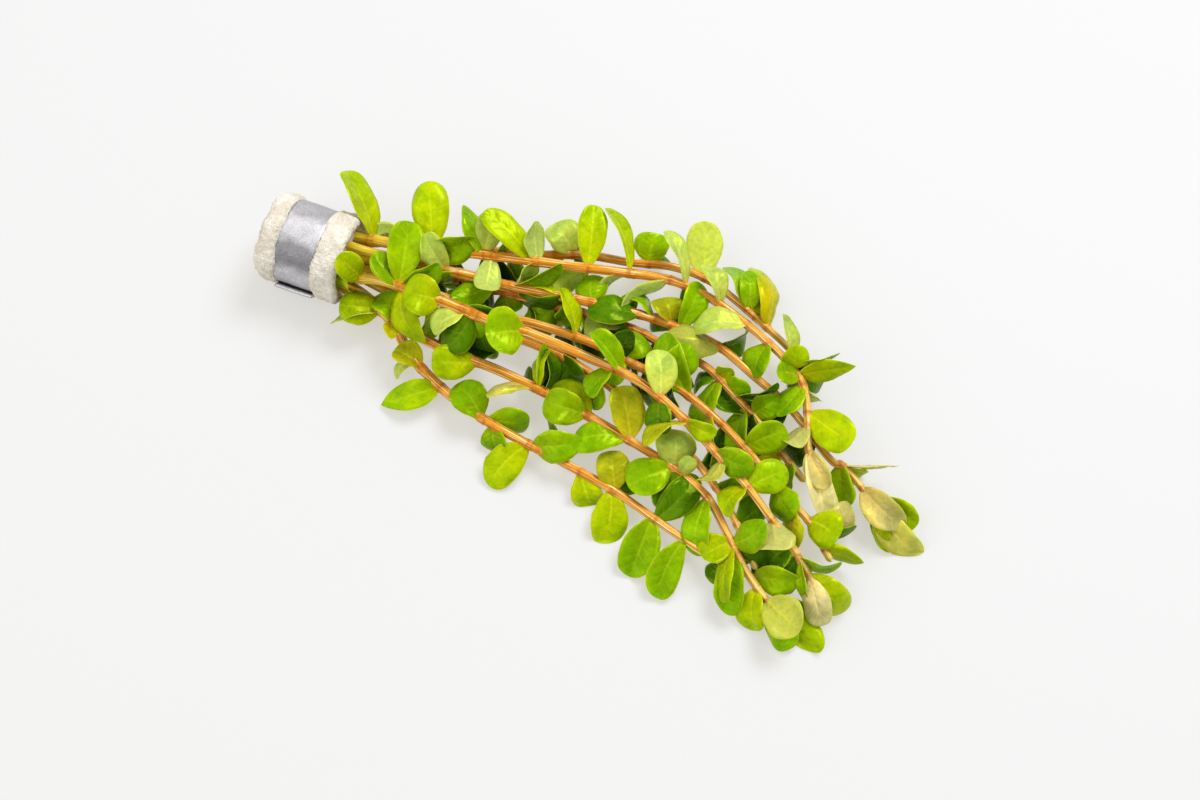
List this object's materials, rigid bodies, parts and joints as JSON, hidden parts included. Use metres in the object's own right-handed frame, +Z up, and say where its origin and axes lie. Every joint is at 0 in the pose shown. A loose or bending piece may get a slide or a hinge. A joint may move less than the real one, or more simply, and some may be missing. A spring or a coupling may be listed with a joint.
{
  "type": "rotala bunch",
  "caption": "Bunch of cut rotala shoots, an aquarium stem plant with round green leaves, held in a foam sleeve by a wrapped lead strip.",
  "frame": {"origin": "middle of the weight strip's flat underside, where the bunch rests", "axes": "+X along the sleeve from the cut ends to the tips, +Z up from the surface that the bunch lies on"},
  "size_m": [0.1856, 0.098, 0.0233],
  "materials": {
    "foam": "soft cream open-cell foam, matte",
    "lead": "dull grey rolled lead, satin",
    "shoot": "waxy green leaves on smooth orange-brown stems"
  },
  "bodies": {
    "root": {"foam_sleeve": "foam", "weight_strip": "lead", "shoot_1": "shoot", "shoot_2": "shoot", "shoot_3": "shoot", "shoot_4": "shoot", "shoot_5": "shoot", "shoot_6": "shoot", "shoot_7": "shoot", "shoot_8": "shoot", "shoot_9": "shoot"}
  },
  "joints": []
}
